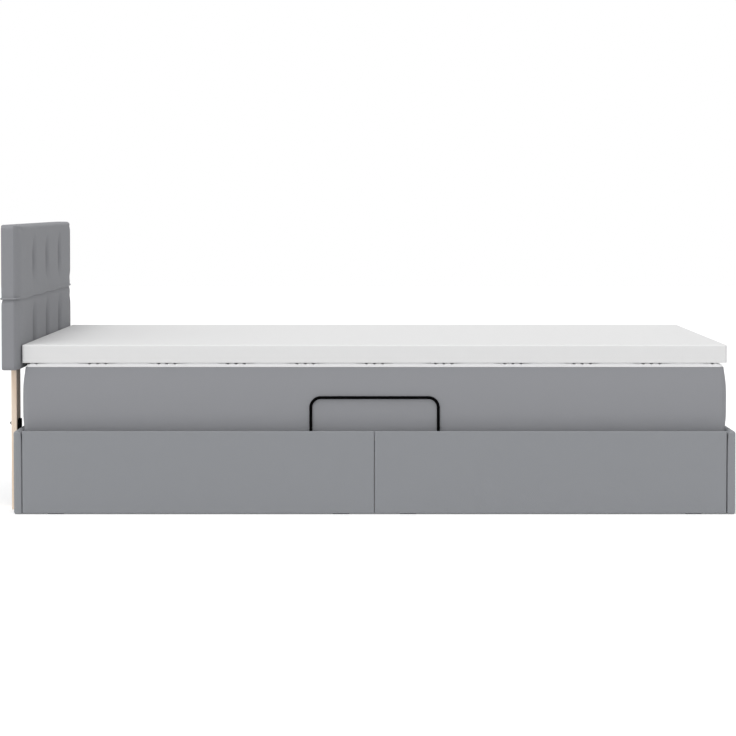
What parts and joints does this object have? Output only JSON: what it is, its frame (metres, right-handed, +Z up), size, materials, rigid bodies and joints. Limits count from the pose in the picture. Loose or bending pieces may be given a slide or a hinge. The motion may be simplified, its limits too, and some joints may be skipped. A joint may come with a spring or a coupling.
{
  "type": "storage bed",
  "caption": "Single bed with a fabric-covered storage box, a mattress that lifts at the long side on arms and gas struts, a topper and a tufted headboard on wooden legs.",
  "frame": {"origin": "on the floor, under the middle of the bed's outer box", "axes": "+X from the headboard to the foot along the length, +Y from the near side that lifts to the far side, +Z up from the floor"},
  "size_m": [1.974, 0.96, 0.778],
  "materials": {
    "panel_fabric": "woven grey fabric over board",
    "headboard_fabric": "woven grey fabric over foam",
    "mattress_grey": "woven grey border fabric",
    "mattress_white": "white quilted knit",
    "topper_white": "white knit cover over foam",
    "board": "raw particle board and hardboard",
    "batten_wood": "raw softwood",
    "leg_wood": "raw pale wood",
    "slat_wood": "raw layered wood",
    "black_plastic": "moulded",
    "rubber": "matt",
    "zinc_steel": "zinc plated",
    "lift_steel": "black powder coat",
    "black_steel": "black powder coat",
    "strut_chrome": "polished"
  },
  "bodies": {
    "base": {"foot_panel": "panel_fabric", "head_panel": "panel_fabric", "side_panel_near_head": "panel_fabric", "side_panel_near_foot": "panel_fabric", "side_panel_far_head": "panel_fabric", "side_panel_far_foot": "panel_fabric", "cross_partition": "board", "floor_battens": "batten_wood", "floor_board_head": "board", "floor_board_foot": "board", "corner_brackets": "zinc_steel", "seam_brackets": "zinc_steel", "bracket_bolts": "zinc_steel", "lid_rests": "batten_wood", "rest_pads": "rubber", "glides": "black_plastic", "lift_plate_head": "lift_steel", "lift_plate_foot": "lift_steel", "lift_screws": "zinc_steel", "base_pins": "zinc_steel", "headboard_leg_near": "leg_wood", "headboard_leg_far": "leg_wood", "leg_plate_near": "black_steel", "leg_plate_far": "black_steel", "headboard_board": "board", "headboard_pad_lower": "headboard_fabric", "headboard_pad_upper": "headboard_fabric", "headboard_pad_back": "headboard_fabric", "headboard_welt": "headboard_fabric", "leg_screws": "zinc_steel", "plate_screws": "black_steel", "leg_bolts": "black_steel", "leg_nuts": "zinc_steel", "leg_washers": "zinc_steel"},
    "rear_arms": {"rear_arm_head": "lift_steel", "rear_arm_foot": "lift_steel"},
    "front_arms": {"front_arm_head": "lift_steel", "front_arm_foot": "lift_steel"},
    "lid": {"lid_plate_head": "lift_steel", "lid_plate_foot": "lift_steel", "lid_pins": "zinc_steel", "rail_head": "black_steel", "rail_foot": "black_steel", "rail_near": "black_steel", "rail_far": "black_steel", "cross_rails": "black_steel", "rail_caps": "black_plastic", "slats": "slat_wood", "slat_holders": "black_plastic", "retaining_bar": "black_steel", "bar_nuts": "zinc_steel", "mattress_border": "mattress_grey", "mattress_top": "mattress_white", "topper": "topper_white"},
    "strut_cylinders": {"strut_cylinder_head": "black_steel", "strut_cylinder_foot": "black_steel"},
    "strut_rods": {"strut_rod_head": "strut_chrome", "strut_rod_foot": "strut_chrome"}
  },
  "joints": [
    {"name": "lift", "type": "hinge", "parent": "base", "child": "rear_arms", "pos_m": [0.017, 0.228, 0.142], "axis": [1, 0, 0], "range_deg": [0, 60]},
    {"name": "lid_tilt", "type": "hinge", "parent": "rear_arms", "child": "lid", "pos_m": [0.017, 0.385, 0.129], "axis": [1, 0, 0], "range_deg": [-102.44, 0]},
    {"name": "front_arm_swing", "type": "hinge", "parent": "base", "child": "front_arms", "pos_m": [0.017, -0.042, 0.05], "axis": [1, 0, 0], "range_deg": [0, 35.94]},
    {"name": "strut_swing", "type": "hinge", "parent": "base", "child": "strut_cylinders", "pos_m": [0.017, 0.209, 0.042], "axis": [1, 0, 0], "range_deg": [0, 47.2]},
    {"name": "strut_slide", "type": "slide", "parent": "strut_cylinders", "child": "strut_rods", "axis": [0, 0.9361, 0.3517], "range_m": [0, 0.0513]}
  ],
  "couplings": [
    {"joint": "lid_tilt", "follows": "lift", "ratio": -1.699},
    {"joint": "front_arm_swing", "follows": "lift", "ratio": 0.5907},
    {"joint": "strut_swing", "follows": "lift", "ratio": 0.7784},
    {"joint": "strut_slide", "follows": "lift", "m_per_rad": 0.04807}
  ]
}
